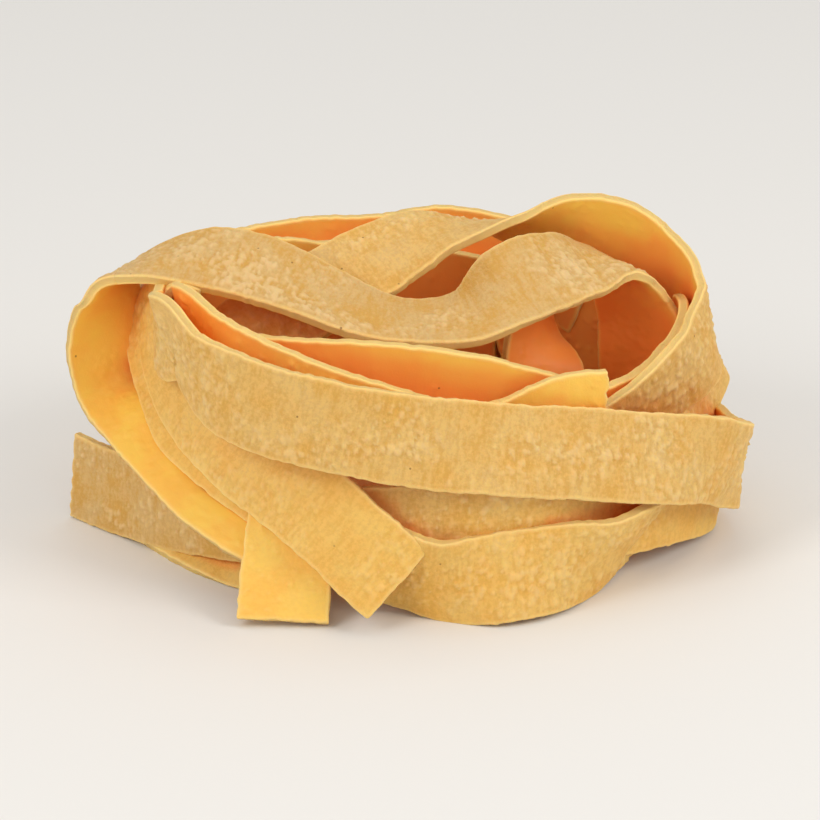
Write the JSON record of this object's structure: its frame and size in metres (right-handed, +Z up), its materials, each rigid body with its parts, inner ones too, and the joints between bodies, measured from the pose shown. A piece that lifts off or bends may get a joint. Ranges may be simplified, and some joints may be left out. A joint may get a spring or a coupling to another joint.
{
  "type": "dry pasta nest",
  "caption": "Nest of flat dried pasta ribbons wound round an open middle, one ribbon looped over the top and cut ends hanging in front; prepared food for cooking.",
  "frame": {"origin": "middle of the nest's base, on the surface that it stands on", "axes": "+Z up; +X along the nest's length, towards the end with the tall hoop; -Y towards the front with the hanging cut ends"},
  "size_m": [0.0922, 0.0668, 0.0432],
  "materials": {
    "pasta": "dry and matt, floury pale outside and deep golden inside"
  },
  "bodies": {
    "root": {"pasta_nest": "pasta"}
  },
  "joints": []
}
